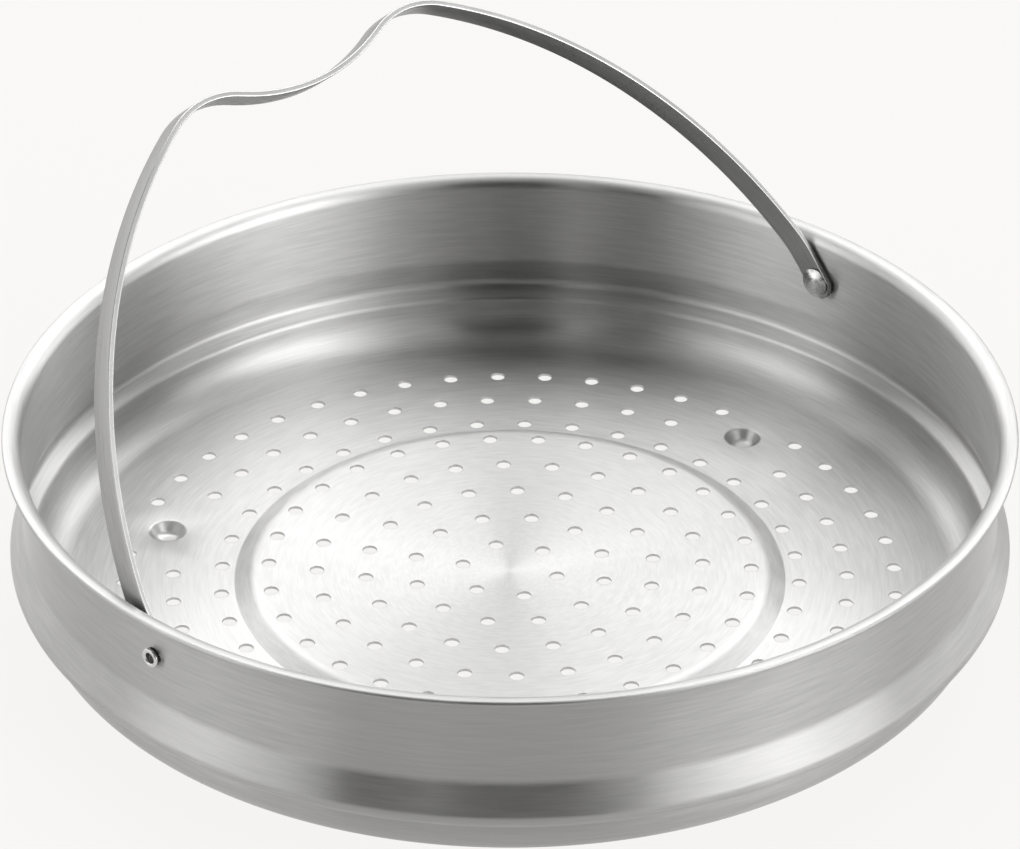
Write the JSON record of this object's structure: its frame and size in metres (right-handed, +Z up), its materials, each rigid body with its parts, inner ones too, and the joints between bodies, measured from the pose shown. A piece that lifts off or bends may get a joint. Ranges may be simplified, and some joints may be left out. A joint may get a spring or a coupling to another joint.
{
  "type": "steamer basket",
  "caption": "Deep-drawn perforated steamer basket with hemmed rim, rest bead, stepped base and pressed feet, and a riveted folding bail with a dipped grip.",
  "frame": {"origin": "under the middle of the base, on the surface that the feet stand on", "axes": "+Z up along the basket's axis, +X along the bail's pivot axis towards a foot, +Y towards the side to which the bail leans at rest"},
  "size_m": [0.2058, 0.2058, 0.1044],
  "materials": {
    "basket_steel": "satin, brushed round the axis",
    "bail_steel": "satin, brushed along the strip, with bright edges",
    "rivet_steel": "polished"
  },
  "bodies": {
    "basket_body": {"basket": "basket_steel", "rivet_right": "rivet_steel", "rivet_left": "rivet_steel"},
    "bail_body": {"bail": "bail_steel"}
  },
  "joints": [
    {"name": "bail_swing", "type": "hinge", "parent": "basket_body", "child": "bail_body", "pos_m": [0, 0, 0.032], "axis": [1, 0, 0], "range_deg": [-65.5, 145.5]}
  ]
}
